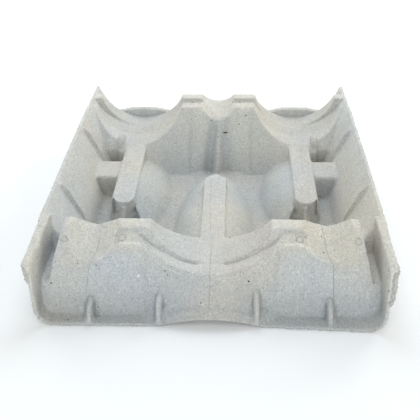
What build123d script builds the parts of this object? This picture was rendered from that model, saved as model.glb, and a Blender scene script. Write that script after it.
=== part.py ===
from build123d import *
from math import cos, radians, sin
import os

# A moulded pulp tray for three bottles lying head to tail.
# One sheet of even thickness: a top form minus the same form drawn one sheet thinner.
# X runs across the lanes, Y from the front end to the back end, Z up from the table.
# Two lanes have the bottle body at the back, the middle lane has it at the front.

# whole tray; the right end of the front hem is trimmed a little longer than the rest
length = 322.0
width = 250.0
rim_height = 52.0
sheet = 2.6
hem_skew = 4.0
hem_straight = 42.0
hem_corner_height = 12.0

# long trough that carries everything, inside sizes
floor_half = 99.0
rim_inset = 2.8
wall_bow = 3.0
floor_corner = 7.0

# squarer front end of the trough, inside sizes
bay_length = 64.0
ledge_width = 5.6
bay_lean = 1.2
ledge_length = 68.0
ledge_height = 51.2
bay_corner = 11.0

# bottle lanes
lane_pitch = 77.5
seat_height = 22.0
body_radius = 47.5
neck_pitch = 84.0

# front bulkhead, distances from the front end
front_foot = 11.0
front_knee = 31.0
front_knee_height = 39.0
front_step = 36.0
front_step_height = 46.0
front_post_near = 49.0
front_post_far = 62.0
post_height = 51.4
post_lip = 1.2
post_round = 3.0
front_back_foot = 92.0
channel_width = 11.9
channel_floor = 23.0
shoulder_spread = 0.25

# back bulkhead, distances from the back end
back_foot = 1.0
back_post_far = 19.0
back_post_near = 31.0
back_step_height = 48.2
back_panel_top = 45.0
back_panel_foot = 100.0
slot_inner = 15.0
slot_outer = 38.0
slot_width = 2.4
slot_depth = 1.5

# body saddles: a band, then a lip toward the end of the tray
front_lip_radius = 62.0
front_lip_edge = 47.0
front_lip_rise = 8.8
groove_depth = 2.4
groove_width = 4.0
tongue_half = 10.0
back_lip_radius = 41.0
back_lip_edge = 31.0
back_lip_shift = 2.0
stop_height = 29.5
stop_side_height = 25.6
stop_half = 29.0
stop_crown = 0.8
stop_length = 7.0

# neck saddles
front_neck_radius = 24.0
front_neck_height = 45.0
front_neck_fall = 17.0
back_neck_radius = 19.0
back_neck_height = 39.0
back_neck_rise = 6.5
back_neck_start = 58.0

# hollow that runs down the front face below the middle saddle
hollow_radius = 160.0
hollow_foot = 12.2
hollow_fall = 51.5

# strips under the bottles
strip_half = 9.6
strip_taper = 6.0
centre_strip_end = 186.0
centre_strip_point = 9.0
side_strip_end = 134.0
strip_end_round = 6.5

# domes beside the strips
dome_height = 20.6
centre_dome_middle = 116.0
centre_dome_half = 33.7
centre_dome_reach = 104.0
centre_dome_near = 70.0
centre_dome_far = 230.0
side_dome_middle = 179.0
side_dome_half = 38.0
side_dome_reach = 77.0
side_dome_near = 100.0
side_dome_far = 270.0
dome_inner_edge = 17.5
dome_runs = 4

# dimple round the end of each side strip, with a small rib in it
dimple_radius = 15.0
rib_half = 3.0
rib_length = 20.0
rib_height = 13.0
rib_lean = 3.0

# bars from the side walls to the side strips and the pockets behind them
bar_near = 182.0
bar_far = 214.0
bar_height = 20.0
bar_round = 2.5
pocket_far = 238.0
pocket_top = 60.0
skin = 0.6
column_half = 3.2
column_depth = 5.0
column_lean = 2.0

# bulged apron in front of the middle saddle
apron_radius = 105.0
apron_edge_height = 8.5
apron_tilt = 31.0
apron_length = 34.0

# fins between floor and front face
fin_half = 2.2
fin_nose = 1.0
fin_nose_height = 4.0
fin_knee = 13.0
fin_knee_height = 11.0
fin_depth = 22.0
fin_height = 15.5
fin_places = (36.0, 86.0)

# valleys in the back panel, between its outer folds and the ridge at its middle
fold_outer = 27.5
fold_valley = 8.5
fold_inner = 1.2
fold_depth = 8.0

# thin ribs down the side walls
wall_rib_places = (116.0, 221.0)
wall_rib_half = 1.3
wall_rib_height = 2.2
wall_rib_foot = 15.0
wall_rib_top = 50.0

deep = 20.0
over = 6.0
low = -deep / 2
least_round = 0.4

# worked out from the sizes above
wall_top_half = width / 2 - rim_inset
bay_half = width / 2 - ledge_width
bay_top_half = bay_half + bay_lean
shoulder_half = bay_half - channel_width
wall_slope = (wall_top_half - floor_half) / (rim_height - sheet)


def front(distance):
    return distance + hem_skew - length / 2


def back(distance):
    return length / 2 - distance


def wall_at(height):
    return floor_half + wall_slope * (height - sheet)


def upright(x, y, z):
    """Upright plane across the tray, seen from the front end."""
    return Plane(origin=(x, y, z), x_dir=(1, 0, 0), z_dir=(0, -1, 0))


def section(plane, points, grow, top_corners=0, low_corners=0, radius=0.0):
    """Closed outline on a plane, grown all round, with its highest or lowest corners rounded."""
    with BuildSketch(plane) as outline:
        with BuildLine():
            Polyline(*points, close=True)
        make_face()
        if grow:
            offset(amount=grow, kind=Kind.INTERSECTION)
        if radius:
            ordered = outline.vertices().sort_by(Axis.Y)
            chosen = ordered[-top_corners:] if top_corners else ordered[:low_corners]
            fillet(chosen, max(radius + grow, least_round))
    return outline.sketch


def prism_along_y(points, y_from, y_to, grow=0.0, mode=Mode.ADD, low_corners=0, radius=0.0):
    face = section(upright(0, y_from, 0), points, grow, 0, low_corners, radius)
    extrude(face, amount=y_to - y_from, dir=(0, 1, 0), mode=mode)


def prism_along_x(points, x_middle, half, grow=0.0, mode=Mode.ADD, top_corners=0, radius=0.0):
    face = section(Plane.YZ.offset(x_middle - half), points, grow, top_corners, 0, radius)
    extrude(face, amount=2 * half, dir=(1, 0, 0), mode=mode)


def rod(x, y, axis_height, radius, reach, tilt=0.0, mode=Mode.SUBTRACT):
    """Round bar between upright ends, from y for reach along Y; tilt lifts its far end."""
    run = reach / cos(radians(tilt))
    sign = 1 if reach > 0 else -1
    with BuildSketch(upright(x, y, axis_height)) as outline:
        Circle(radius)
    way = (0, sign * cos(radians(tilt)), sin(radians(tilt)))
    extrude(outline.sketch, amount=abs(run), dir=way, mode=mode)


def leaning_bar(x, y, seat, radius, grow, reach, tilt, mode=Mode.SUBTRACT):
    """Round bar whose lowest line passes through y at height seat and rises toward the back."""
    way = Vector(0, cos(radians(tilt)), sin(radians(tilt)))
    centre = Vector(x, y, seat) + Vector(0, -way.Z, way.Y) * radius
    with BuildSketch(Plane(origin=centre - way * reach, x_dir=(1, 0, 0), z_dir=way)) as outline:
        Circle(radius + grow)
    extrude(outline.sketch, amount=2 * reach, mode=mode)


def dome(x, y, half, reach, shrink, x_keep, y_keep, dimple=False, twin=False):
    """Long mound, round across and arched along, kept only inside a range of X and of Y."""
    rise = dome_height - sheet
    radius = (half ** 2 + rise ** 2) / (2 * rise)
    with BuildPart(mode=Mode.PRIVATE) as mound:
        with BuildSketch(Plane.YZ):
            with BuildLine():
                if shrink:
                    # the underside needs no finer arch than a few straight runs
                    shares = [step / dome_runs for step in range(-dome_runs, dome_runs + 1)]
                    Polyline(*[(t * reach, radius - shrink - rise * t * t) for t in shares])
                else:
                    ThreePointArc((-reach, radius - rise), (0, radius), (reach, radius - rise))
                end = radius - rise - shrink
                Polyline((reach, end), (reach, 0), (-reach, 0), (-reach, end))
            make_face()
        revolve(axis=Axis.Y)
    with BuildPart(mode=Mode.PRIVATE) as kept:
        add(mound.part.moved(Location((x, y, dome_height - radius))))
        with Locations(((x_keep[0] + x_keep[1]) / 2, (y_keep[0] + y_keep[1]) / 2, deep)):
            Box(x_keep[1] - x_keep[0], y_keep[1] - y_keep[0], 2 * deep, mode=Mode.INTERSECT)
        if dimple:
            with Locations((x, front(side_strip_end - dimple_radius / 2), deep)):
                Cylinder(dimple_radius + shrink, 3 * deep, mode=Mode.SUBTRACT)
    add(kept.part)
    if twin:
        add(kept.part.mirror(Plane.YZ))


def strip(x, outline_points, shrink, round_end):
    """Flat-topped strip drawn in plan, widening downward."""
    with BuildSketch(Plane.XY.offset(seat_height - shrink)) as plan:
        with BuildLine():
            Polyline(*[(x + px, py) for px, py in outline_points], close=True)
        make_face()
        if round_end:
            fillet(plan.vertices().sort_by(Axis.Y)[:2], round_end)
        if shrink:
            offset(amount=-shrink)
    extrude(plan.sketch, amount=-(seat_height - low), taper=-strip_taper)


def tray_form(shrink):
    """Solid below the tray surface; hills lose shrink all round, hollows gain it."""
    end = over if shrink else 0.0
    side = width / 2 + over + end
    with BuildPart() as form:
        with BuildSketch(Plane.XY.offset(-deep)):
            with BuildLine():
                Polyline(
                    (-side, front(-end)),
                    (hem_straight, front(-end)),
                    (bay_half, front(-hem_skew - end)),
                    (side, front(-hem_skew - end)),
                    (side, back(-end)),
                    (-side, back(-end)),
                    close=True,
                )
            make_face()
        extrude(amount=rim_height + end + deep)

        # long trough with sloping walls that bow out a little at mid length
        high = rim_height + 2 * over
        with BuildPart(mode=Mode.PRIVATE) as trough:
            for y, bow in ((front(-3 * over), 0.0), (0, wall_bow), (back(-3 * over), 0.0)):
                points = [
                    (-floor_half, sheet),
                    (floor_half, sheet),
                    (wall_at(high) + bow, high),
                    (-wall_at(high) - bow, high),
                ]
                add(section(upright(0, y, 0), points, shrink, 0, 2, floor_corner))
            loft()
        add(trough.part, mode=Mode.SUBTRACT)

        # ledge along the front stretch of both rims
        for side in (-1, 1):
            ledge_front = front(-end - (hem_skew if side > 0 else 0))
            ledge = [
                (side * bay_half, low),
                (side * (width / 2 + over), low),
                (side * (width / 2 + over), ledge_height),
                (side * bay_half, ledge_height),
            ]
            prism_along_y(ledge, ledge_front, front(ledge_length) - shrink, -shrink)

        # squarer bay at the front end with round bottom corners
        bay = [(-bay_half, sheet), (bay_half, sheet), (bay_top_half, high), (-bay_top_half, high)]
        bay_end = front(bay_length) + shrink
        prism_along_y(bay, front(-3 * over), bay_end, shrink, Mode.SUBTRACT, 2, bay_corner)

        # front bulkhead: a low sill across the bay, then the high part between the channels
        foot_slope = (front_knee - front_foot) / (front_knee_height - sheet)
        toe = front_foot - foot_slope * (sheet - low)
        heel_slope = (front_back_foot - front_post_far) / (post_height - sheet)
        heel = front_back_foot + heel_slope * (sheet - low)
        sill_near = front_foot + foot_slope * (channel_floor - sheet)
        sill_far = front_back_foot - heel_slope * (channel_floor - sheet)
        sill = [
            (front(toe), low),
            (front(heel), low),
            (front(sill_far), channel_floor),
            (front(sill_near), channel_floor),
        ]
        prism_along_x(sill, 0, bay_top_half, -shrink)
        high_part = [
            (front(toe), low),
            (front(heel), low),
            (front(front_post_far), post_height),
            (front(front_post_near), post_height),
            (front(front_step), front_step_height),
            (front(front_knee), front_knee_height),
        ]
        with BuildPart(mode=Mode.PRIVATE) as shoulders:
            prism_along_x(high_part, 0, bay_half, -shrink, Mode.ADD, 4, post_round)
            with BuildSketch(upright(0, front(toe) - over, 0)) as outline:
                with BuildLine():
                    low_half = shoulder_half + (post_height - low) * shoulder_spread - shrink
                    top_half = shoulder_half + (post_height - rim_height) * shoulder_spread - shrink
                    Polyline(
                        (-low_half, low),
                        (low_half, low),
                        (top_half, rim_height),
                        (-top_half, rim_height),
                        close=True,
                    )
                make_face()
            extrude(outline.sketch, amount=length, dir=(0, 1, 0), mode=Mode.INTERSECT)
        add(shoulders.part)

        # hollow down the front face, with a bulged apron in it, in front of the middle saddle
        with BuildPart(mode=Mode.PRIVATE) as hollow:
            with Locations((0, front(hollow_foot), sheet + skin - shrink)):
                Box(length, length, length, align=(Align.CENTER, Align.CENTER, Align.MIN))
            leaning_bar(
                0, front(hollow_foot), sheet, hollow_radius, shrink, length, hollow_fall, Mode.INTERSECT
            )
        add(hollow.part, mode=Mode.SUBTRACT)
        with BuildPart(mode=Mode.PRIVATE) as apron:
            rise = over * sin(radians(apron_tilt)) / cos(radians(apron_tilt))
            axis = apron_edge_height - rise - apron_radius
            rod(0, front(-over), axis, apron_radius - shrink, 2 * apron_length, apron_tilt, Mode.ADD)
            with Locations((0, front(apron_length - end) / 2 + front(0) / 2, deep)):
                Box(2 * apron_radius, apron_length + end, 2 * deep, mode=Mode.INTERSECT)
        add(apron.part)

        # back bulkhead with its long sloping panel
        panel_slope = (back_panel_foot - back_panel_top) / (back_step_height - sheet)
        panel_heel = back_panel_foot + panel_slope * (sheet - low)
        back_slope = (back_post_far - back_foot) / (post_height - sheet)
        back_heel = back_foot - back_slope * (sheet - low)
        back_part = [
            (back(back_heel), low),
            (back(panel_heel), low),
            (back(back_panel_top), back_step_height),
            (back(back_post_near + post_lip), back_step_height),
            (back(back_post_near), post_height),
            (back(back_post_far), post_height),
        ]
        prism_along_x(back_part, 0, wall_top_half + over, -shrink, Mode.ADD, 4, post_lip)

        # valleys in the panel on both sides of the ridge at its middle
        lean = shrink * (1 + panel_slope ** 2) ** 0.5
        valley_top = back_step_height - over
        levels = (sheet + skin - shrink, valley_top)
        for side in (-1, 1):
            with BuildPart(mode=Mode.PRIVATE) as valley:
                for level in levels:
                    face = back_panel_top + (back_step_height - level) * panel_slope - lean
                    deepest = fold_depth * (valley_top - level) / (valley_top - sheet) + least_round
                    plan = [
                        (side * (fold_outer + shrink), back(face)),
                        (side * fold_valley, back(face - deepest)),
                        (side * max(fold_inner - shrink, 0), back(face)),
                        (side * max(fold_inner - shrink, 0), back(face + over)),
                        (side * (fold_outer + shrink), back(face + over)),
                    ]
                    with BuildSketch(Plane.XY.offset(level)):
                        with BuildLine():
                            Polyline(*plan, close=True)
                        make_face()
                loft(ruled=True)
            add(valley.part, mode=Mode.SUBTRACT)

        # domes on the inner sides of the strips
        inner = (-centre_dome_half, centre_dome_half)
        kept = (front(centre_dome_near), front(centre_dome_far))
        dome(0, front(centre_dome_middle), centre_dome_half, centre_dome_reach, shrink, inner, kept)
        inner = (-lane_pitch, -dome_inner_edge)
        kept = (front(side_dome_near), front(side_dome_far))
        middle = front(side_dome_middle)
        dome(-lane_pitch, middle, side_dome_half, side_dome_reach, shrink, inner, kept, True, True)

        # body saddles
        axis = seat_height + body_radius
        lip_axis = seat_height + front_lip_radius
        groove_near = front(front_lip_edge - groove_width) - shrink
        groove_radius = body_radius + groove_depth + shrink
        lip_run = front_lip_edge + hem_skew + over
        rod(0, front(front_lip_edge) - shrink, axis, body_radius + shrink, front_back_foot)
        rod(0, groove_near, axis, groove_radius, groove_width + 2 * shrink)
        lip_far = front(front_lip_edge) + shrink
        rod(0, lip_far, lip_axis, front_lip_radius + shrink, -lip_run, front_lip_rise)
        tongue_near = front(front_lip_edge - 2 * groove_width)
        tongue_far = front(front_lip_edge + groove_width)
        tongue = [
            (tongue_near, low),
            (tongue_far, low),
            (tongue_far, seat_height),
            (tongue_near, seat_height),
        ]
        prism_along_x(tongue, 0, tongue_half - shrink, -shrink)
        for side in (-1, 1):
            x = side * lane_pitch
            rod(x, back(back_lip_edge) + shrink, axis, body_radius + shrink, -back_panel_foot)
            lip_x = x - side * back_lip_shift
            lip_axis = seat_height + back_lip_radius
            lip_run = back_lip_edge + over + shrink
            rod(lip_x, back(back_lip_edge) - shrink, lip_axis, back_lip_radius + shrink, lip_run)
            # raised stop at the very end of the saddle
            stop = [
                (x - stop_half, low),
                (x + stop_half, low),
                (x + stop_half, stop_side_height),
                (x + stop_half / 2, stop_height - stop_crown),
                (x, stop_height),
                (x - stop_half / 2, stop_height - stop_crown),
                (x - stop_half, stop_side_height),
            ]
            prism_along_y(stop, back(stop_length) + shrink, back(-over if shrink else 0), -shrink)

        # neck saddles
        for side in (-1, 1):
            x = side * neck_pitch
            y = front(front_post_far)
            leaning_bar(x, y, front_neck_height, front_neck_radius, shrink, front_post_far, front_neck_fall)
        y = back(back_neck_start)
        leaning_bar(0, y, back_neck_height, back_neck_radius, shrink, 2 * back_neck_start, back_neck_rise)

        # pockets between the bars and the back saddles, outside the strips
        for side in (-1, 1):
            inner = side * (lane_pitch + strip_half + skin)
            pocket = [
                (inner, sheet + skin),
                (side * (wall_at(sheet + skin) - skin), sheet + skin),
                (side * (wall_at(pocket_top) - skin), pocket_top),
                (inner, pocket_top),
            ]
            pocket_end = front(pocket_far) + shrink
            prism_along_y(pocket, front(bar_far) - shrink, pocket_end, shrink, Mode.SUBTRACT)

        # strips that carry the bottles
        centre_plan = [
            (-strip_half, front(front_post_far)),
            (strip_half, front(front_post_far)),
            (strip_half, front(centre_strip_end - centre_strip_point)),
            (0, front(centre_strip_end)),
            (-strip_half, front(centre_strip_end - centre_strip_point)),
        ]
        strip(0, centre_plan, shrink, 0)
        side_plan = [
            (-strip_half, front(side_strip_end)),
            (strip_half, front(side_strip_end)),
            (strip_half, back(back_panel_top)),
            (-strip_half, back(back_panel_top)),
        ]
        for side in (-1, 1):
            strip(side * lane_pitch, side_plan, shrink, strip_end_round)
            bar = [
                (front(bar_near), low),
                (front(bar_far), low),
                (front(bar_far), bar_height),
                (front(bar_near), bar_height),
            ]
            bar_half = (wall_top_half - lane_pitch) / 2
            prism_along_x(bar, side * (lane_pitch + bar_half), bar_half, -shrink, Mode.ADD, 2, bar_round)

        # details too thin to be hollow, and the front end trimmed back above the longer corner
        if not shrink:
            trim = [
                (front(-hem_skew), hem_corner_height),
                (front(0), rim_height + over),
                (front(-hem_skew - over), rim_height + over),
                (front(-hem_skew - over), hem_corner_height),
            ]
            prism_along_x(trim, width / 2, width / 2, 0, Mode.SUBTRACT)
            for side in (-1, 1):
                for place in fin_places:
                    fin = [
                        (front(fin_nose), low),
                        (front(fin_depth + over), low),
                        (front(fin_depth), fin_height),
                        (front(fin_knee), fin_knee_height),
                        (front(fin_nose), fin_nose_height),
                    ]
                    prism_along_x(fin, side * place, fin_half)
                rib = [
                    (front(side_strip_end - rib_length), low),
                    (front(side_strip_end + over), low),
                    (front(side_strip_end + over), rib_height),
                    (front(side_strip_end - rib_lean), rib_height),
                ]
                prism_along_x(rib, side * lane_pitch, rib_half)
                slot_low = back_step_height - slot_depth
                slot_far = back(back_post_near + post_lip)
                slot = [
                    (slot_far, slot_low),
                    (slot_far - slot_width, back_step_height),
                    (slot_far - slot_width, rim_height),
                    (slot_far, rim_height),
                ]
                slot_half = (slot_outer - slot_inner) / 2
                prism_along_x(slot, side * (slot_inner + slot_half), slot_half, 0, Mode.SUBTRACT)
                column = [
                    (front(pocket_far - column_depth - column_lean), low),
                    (front(pocket_far + over), low),
                    (front(pocket_far + over), bar_height),
                    (front(pocket_far - column_depth), bar_height),
                ]
                prism_along_x(column, side * (lane_pitch + strip_half + column_half), column_half)
                for place in wall_rib_places:
                    wall_rib = [
                        (side * (wall_at(wall_rib_foot) + over), wall_rib_foot),
                        (side * wall_at(wall_rib_foot), wall_rib_foot),
                        (side * (wall_at(wall_rib_foot + over) - wall_rib_height), wall_rib_foot + over),
                        (side * (wall_at(wall_rib_top - over) - wall_rib_height), wall_rib_top - over),
                        (side * wall_at(wall_rib_top), wall_rib_top),
                        (side * (wall_at(wall_rib_top) + over), wall_rib_top),
                    ]
                    prism_along_y(wall_rib, front(place - wall_rib_half), front(place + wall_rib_half))
    return form.part


top_form = tray_form(0.0)
under_form = tray_form(sheet)

with BuildPart() as bottle_divider:
    add(top_form)
    add(under_form, mode=Mode.SUBTRACT)

os.makedirs("parts", exist_ok=True)
bottle_divider.part.label = "bottle_divider"
export_step(bottle_divider.part, "parts/bottle_divider.step")
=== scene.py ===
import math
import random

import bmesh
import bpy
from mathutils import Matrix, Vector, noise
from mathutils.bvhtree import BVHTree


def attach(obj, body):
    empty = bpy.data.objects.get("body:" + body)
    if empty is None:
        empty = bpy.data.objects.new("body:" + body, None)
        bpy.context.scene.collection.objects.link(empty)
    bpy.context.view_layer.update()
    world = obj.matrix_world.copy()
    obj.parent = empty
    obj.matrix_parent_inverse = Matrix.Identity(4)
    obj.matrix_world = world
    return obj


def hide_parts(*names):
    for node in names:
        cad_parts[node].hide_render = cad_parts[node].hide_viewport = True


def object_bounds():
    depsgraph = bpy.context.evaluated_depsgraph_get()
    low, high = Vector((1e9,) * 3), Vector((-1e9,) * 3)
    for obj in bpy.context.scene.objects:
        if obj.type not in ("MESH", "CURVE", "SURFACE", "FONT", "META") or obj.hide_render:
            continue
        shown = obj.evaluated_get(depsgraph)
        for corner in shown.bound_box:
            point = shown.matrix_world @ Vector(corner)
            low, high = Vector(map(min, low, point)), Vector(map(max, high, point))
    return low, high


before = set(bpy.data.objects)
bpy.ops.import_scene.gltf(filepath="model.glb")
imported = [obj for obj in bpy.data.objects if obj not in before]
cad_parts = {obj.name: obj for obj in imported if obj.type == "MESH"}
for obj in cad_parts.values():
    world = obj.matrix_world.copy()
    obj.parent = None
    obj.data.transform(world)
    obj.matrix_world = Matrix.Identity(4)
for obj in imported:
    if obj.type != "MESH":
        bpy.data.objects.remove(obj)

cad_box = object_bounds()

MM = 0.001

# camera, found from the edges of the tray in the photograph
IMAGE_WIDTH = 420
FOCAL_PIXELS = 752.67
SENSOR_WIDTH = 36.0
CAMERA_PLACE = Vector((17.05, -563.15, 340.93)) * MM
CAMERA_DOWN = math.radians(31.09)
CAMERA_TURN = math.radians(2.19)
CAMERA_ROLL = math.radians(-0.71)
CAMERA_NEAR = 0.01

# soft light, first fitted to the photograph and then partly set one by one:
# name, degrees round from the right, degrees up, watts, colour
SKY_COLOUR = (0.96, 1.0, 1.04)
SKY_STRENGTH = 0.12
LAMP_DISTANCE = 1.5
LAMP_SIZE = 1.0
LAMPS = [
    ("light_front_low", 270, 8, 10.6, (0.95, 1.0, 1.05)),
    ("light_front_high", 270, 55, 5.2, (1.0, 1.0, 0.97)),
    ("light_back_right", 45, 25, 11.0, (1.03, 1.0, 0.90)),
    ("light_back", 90, 25, 5.5, (1.05, 1.0, 0.90)),
    ("light_back_left", 135, 25, 6.4, (1.03, 1.0, 0.90)),
    ("light_back_high", 90, 60, 9.0, (0.93, 1.0, 1.10)),
    ("light_right_front", 315, 25, 1.8, (1.1, 1.0, 0.7)),
    ("light_left_low", 180, 8, 1.6, (0.8, 1.0, 1.0)),
    ("light_left_high", 180, 55, 1.6, (1.0, 1.0, 0.9)),
]
BACKDROP_COLOUR = (0.992, 0.995, 1.0)
FLOOR_HALF = 0.95
FLOOR_DROP = 0.05 * MM
FLOOR_COLOUR = (0.80, 0.82, 0.84)
FLOOR_GLOW = 0.155

# pulp sheet
SKIN_GRAIN = 1.15 * MM
MOST_TRIANGLES = 176000
PRESSED_ROUNDS = 2
SHARP_SHARE = 0.35
WAVE_HEIGHT = 0.35 * MM
WAVE_LENGTH = 26 * MM
LUMP_HEIGHT = 0.14 * MM
LUMP_LENGTH = 5 * MM
TORN_DEPTH = 0.9 * MM
TORN_LENGTH = 2.6 * MM
TORN_BAND = 3.0 * MM
WELD = 0.01 * MM
PRESSED_SHARE = 0.5
LUMP_SHIFT = Vector((7, 3, 1))
TORN_SHIFT = Vector((2, 9, 4))
# where the rims and the hem are torn
RIM_OUT = 118 * MM
RIM_LEVEL = 47 * MM
HEM_Y = -152 * MM


def aim_camera():
    ahead = Vector((
        -math.sin(CAMERA_TURN) * math.cos(CAMERA_DOWN),
        math.cos(CAMERA_TURN) * math.cos(CAMERA_DOWN),
        -math.sin(CAMERA_DOWN),
    ))
    level_right = Vector((math.cos(CAMERA_TURN), math.sin(CAMERA_TURN), 0))
    level_up = level_right.cross(ahead)
    right = math.cos(CAMERA_ROLL) * level_right + math.sin(CAMERA_ROLL) * level_up
    up = -math.sin(CAMERA_ROLL) * level_right + math.cos(CAMERA_ROLL) * level_up
    camera = bpy.data.objects.new("camera", bpy.data.cameras.new("camera"))
    bpy.context.collection.objects.link(camera)
    camera.matrix_world = Matrix((right, up, -ahead)).transposed().to_4x4()
    camera.location = CAMERA_PLACE
    camera.data.sensor_width = SENSOR_WIDTH
    camera.data.lens = FOCAL_PIXELS * SENSOR_WIDTH / IMAGE_WIDTH
    camera.data.clip_start = CAMERA_NEAR
    bpy.context.scene.camera = camera


def soft_lamp(name, round_from_right, height, watts, colour):
    turn = math.radians(round_from_right)
    rise = math.radians(height)
    place = LAMP_DISTANCE * Vector((
        math.cos(rise) * math.cos(turn),
        math.cos(rise) * math.sin(turn),
        math.sin(rise),
    ))
    lamp = bpy.data.lights.new(name, "AREA")
    lamp.shape = "DISK"
    lamp.size = LAMP_SIZE
    lamp.energy = watts
    lamp.color = colour
    holder = bpy.data.objects.new(name, lamp)
    bpy.context.collection.objects.link(holder)
    holder.visible_camera = False
    holder.location = place
    holder.rotation_euler = (-place).to_track_quat("-Z", "Y").to_euler()


def camera_or_glossy(tree):
    path = tree.nodes.new("ShaderNodeLightPath")
    seen = tree.nodes.new("ShaderNodeMath")
    seen.operation = "MAXIMUM"
    tree.links.new(path.outputs["Is Camera Ray"], seen.inputs[0])
    tree.links.new(path.outputs["Is Glossy Ray"], seen.inputs[1])
    return seen.outputs[0]


def white_surroundings():
    world = bpy.data.worlds.new("white_room")
    world.use_nodes = True
    tree = world.node_tree
    tree.nodes.clear()
    sky = tree.nodes.new("ShaderNodeBackground")
    sky.inputs["Color"].default_value = (*SKY_COLOUR, 1)
    sky.inputs["Strength"].default_value = SKY_STRENGTH
    backdrop = tree.nodes.new("ShaderNodeBackground")
    backdrop.inputs["Color"].default_value = (*BACKDROP_COLOUR, 1)
    backdrop.inputs["Strength"].default_value = 1.0
    choose = tree.nodes.new("ShaderNodeMixShader")
    out = tree.nodes.new("ShaderNodeOutputWorld")
    tree.links.new(camera_or_glossy(tree), choose.inputs[0])
    tree.links.new(sky.outputs[0], choose.inputs[1])
    tree.links.new(backdrop.outputs[0], choose.inputs[2])
    tree.links.new(choose.outputs[0], out.inputs["Surface"])
    bpy.context.scene.world = world


def pale_floor():
    mesh = bpy.data.meshes.new("floor")
    corners = [(-FLOOR_HALF, -FLOOR_HALF), (FLOOR_HALF, -FLOOR_HALF),
               (FLOOR_HALF, FLOOR_HALF), (-FLOOR_HALF, FLOOR_HALF)]
    mesh.from_pydata([(x, y, -FLOOR_DROP) for x, y in corners], [], [(0, 1, 2, 3)])
    floor = bpy.data.objects.new("floor", mesh)
    bpy.context.collection.objects.link(floor)
    paint = bpy.data.materials.new("floor_paint")
    paint.use_nodes = True
    tree = paint.node_tree
    tree.nodes.clear()
    plain = tree.nodes.new("ShaderNodeBsdfDiffuse")
    plain.inputs["Color"].default_value = (*FLOOR_COLOUR, 1)
    glow = tree.nodes.new("ShaderNodeEmission")
    glow.inputs["Color"].default_value = (*BACKDROP_COLOUR, 1)
    strength = tree.nodes.new("ShaderNodeMath")
    strength.operation = "MULTIPLY"
    strength.inputs[1].default_value = FLOOR_GLOW
    both = tree.nodes.new("ShaderNodeAddShader")
    out = tree.nodes.new("ShaderNodeOutputMaterial")
    tree.links.new(camera_or_glossy(tree), strength.inputs[0])
    tree.links.new(strength.outputs[0], glow.inputs["Strength"])
    tree.links.new(plain.outputs[0], both.inputs[0])
    tree.links.new(glow.outputs[0], both.inputs[1])
    tree.links.new(both.outputs[0], out.inputs["Surface"])
    mesh.materials.append(paint)


# pulp colours, as linear light
WARM_PULP = (0.588, 0.572, 0.528)
COOL_PULP = (0.538, 0.560, 0.572)

# the pulp is darker low in the tray, partly as denser pulp and partly as painted shade of the deep hollows:
# heights of darkest and palest pulp, and shares between them
DEEP_LEVEL = 3 * MM
HIGH_LEVEL = 48 * MM
DEPTH_PULP_AND_PAINTED_SHADES = [(0.0, 0.80), (0.42, 0.96), (1.0, 1.06)]

# pulp texture: noise scale, detail and roughness
PATCHES = (11, 2.0, 0.5)
PATCH_STOPS = (0.36, 0.64)
# clouds, mottle and fibres: noise, then place and share of the darkest and of the palest pulp
PULP_LAYERS = [
    ((70, 3.0, 0.6), (0.30, 0.96), (0.70, 1.04)),
    ((330, 2.0, 0.6), (0.32, 0.95), (0.68, 1.05)),
    ((900, 3.0, 0.75), (0.34, 0.80), (0.66, 1.18)),
]
# dots and specks: cells per metre, size, share of the cells, shift
DARK_DOTS = (430, 0.25, 0.22, (0.3, 0.1, 0.7))
DARK_DOT_SHARE = 0.74
PALE_DOTS = (390, 0.24, 0.20, (1.3, 0.4, 0.2))
PALE_DOT_SHARES = (1.20, 1.20, 1.18)
SPECKS = (150, 0.10, 0.16, (2.3, 0.9, 1.2))
SPECK_TINTS = [
    (0.0, (0.10, 0.075, 0.05)),
    (0.35, (0.20, 0.19, 0.18)),
    (0.65, (0.13, 0.17, 0.30)),
    (0.85, (0.80, 0.79, 0.74)),
]
PULP_ROUGHNESS = 0.95
PULP_SPECULAR = 0.15
# relief: strength and height of the wire's imprint, then of two grains with their noise
WIRE_RELIEF = (0.35, 0.10 * MM)
GRAIN_RELIEFS = [
    ((420, 4.0, 0.7), (0.45, 0.20 * MM)),
    ((1400, 3.0, 0.7), (0.4, 0.10 * MM)),
]
WIRE_TILT = math.radians(45)
WIRE_SCALE = 260
WIRE_DISTORTION = 1.2
WIRE_DETAIL = 1.0
WIRE_DETAIL_SCALE = 0.4
# darker lines and paler fibres and ridges against the plain pulp: the lines are partly darker seams and
# partly painted shade of their thin ridges, the paler pieces partly paler fibre and partly painted highlight
# on convex edges
DARK_LINE_AND_PAINTED_SHADE = 0.84
PALE_AND_PAINTED_HIGHLIGHT = 1.14

CHIP_ROUGHNESS = 0.8
CHIP_GRAIN = (1200, 2.0, 0.6)
CHIP_STOPS = [(0.3, 0.75), (0.7, 1.15)]


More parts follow.
